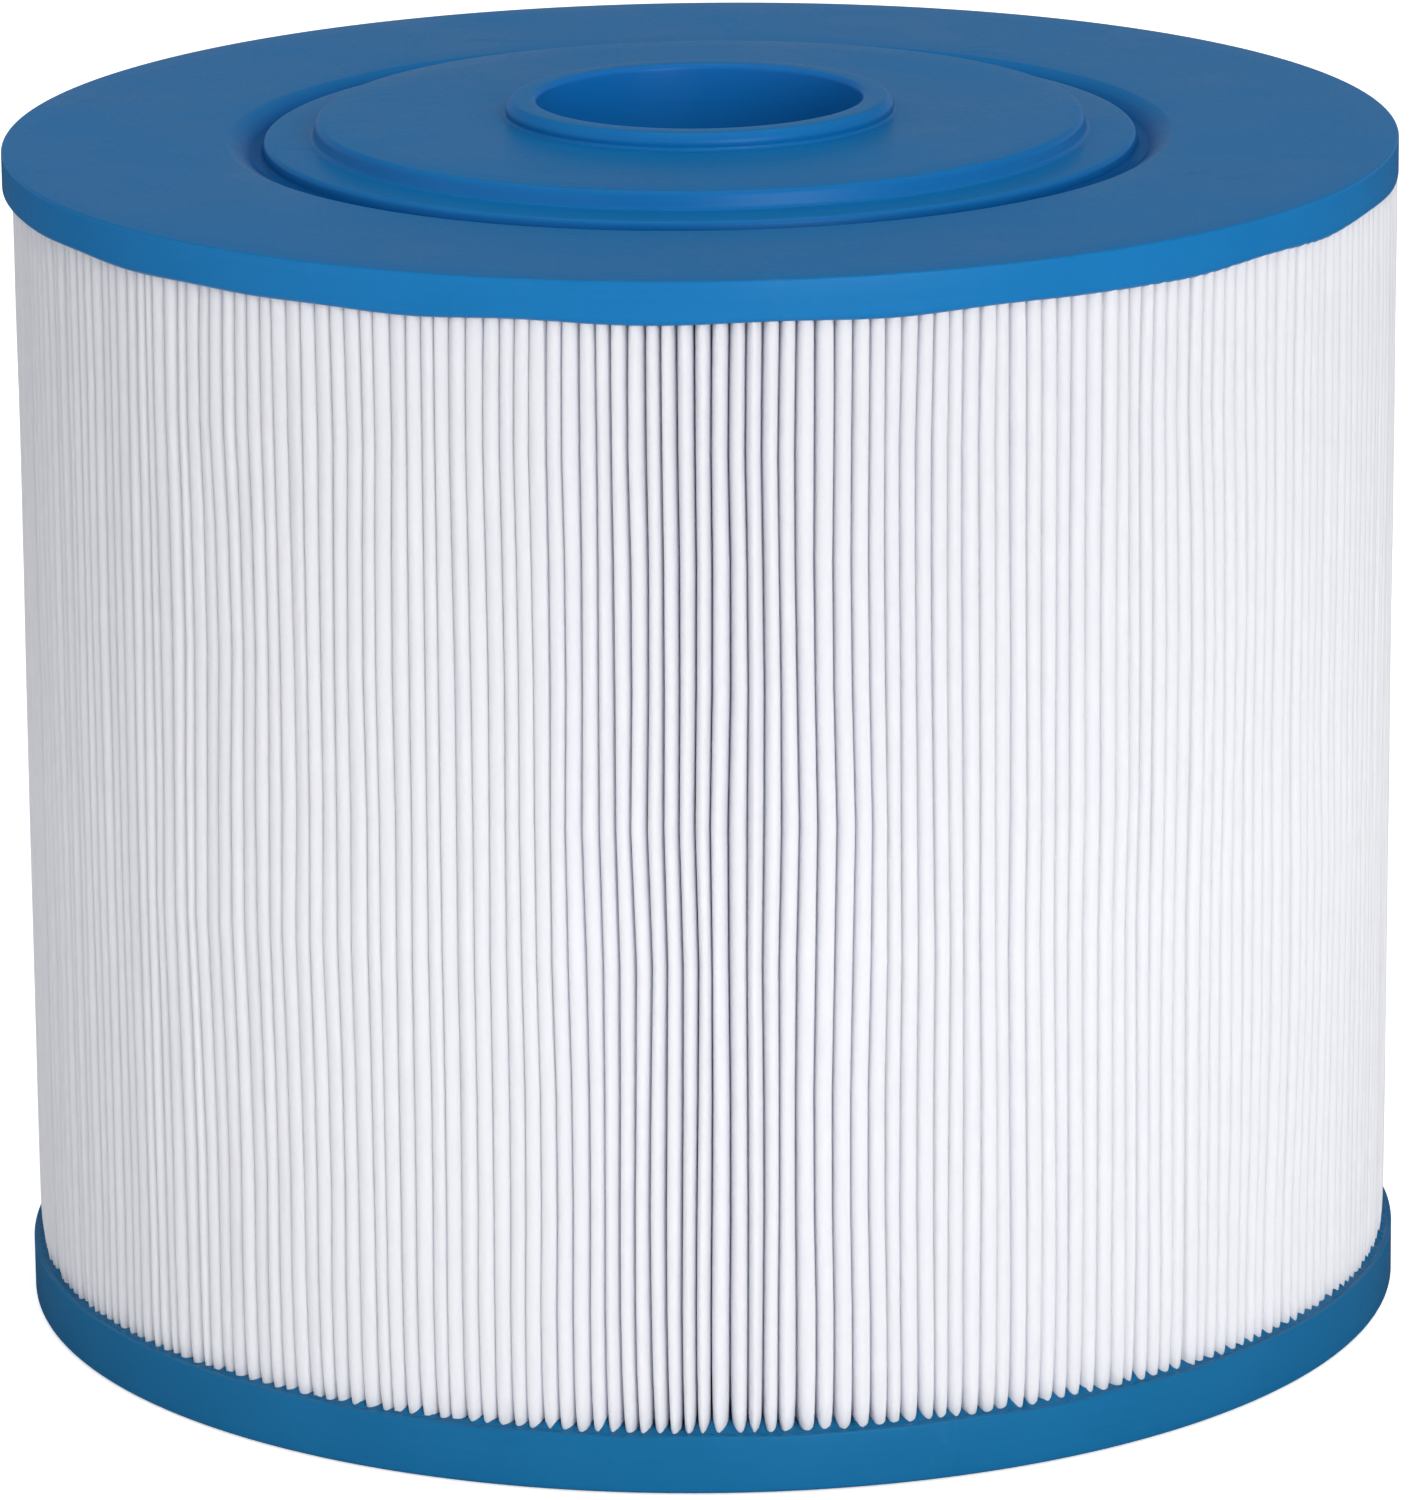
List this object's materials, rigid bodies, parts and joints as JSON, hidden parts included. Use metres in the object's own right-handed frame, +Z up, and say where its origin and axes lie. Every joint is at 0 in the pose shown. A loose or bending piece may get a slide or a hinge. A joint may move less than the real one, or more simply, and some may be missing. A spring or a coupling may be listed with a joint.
{
  "type": "pleated filter cartridge",
  "caption": "Round pleated spa filter cartridge: blue cast end caps, tightly folded white media, a latticed centre core and a central port through a raised collar.",
  "frame": {"origin": "centre of the bottom cap's flat underside, on the cartridge's axis", "axes": "+Z up along the cartridge's axis, from the bottom cap to the collared top cap; +Y towards the media's seam clip; -Y is the front"},
  "size_m": [0.2164, 0.2164, 0.1902],
  "materials": {
    "cap_top": "blue cast polyurethane, satin",
    "cap_bottom": "blue cast polyurethane, satin, with a matt free surface inside the lip",
    "media": "white spunbonded polyester nonwoven, matt, with a faint fibre mottle",
    "seam": "natural white extruded strip",
    "core": "off-white moulded plastic"
  },
  "bodies": {
    "root": {"top_end_cap": "cap_top", "bottom_end_cap": "cap_bottom", "pleated_media": "media", "seam_clip": "seam", "core_lower_section": "core", "core_middle_section": "core", "core_upper_section": "core", "core_bottom_disc": "core", "core_top_disc": "core"}
  },
  "joints": []
}
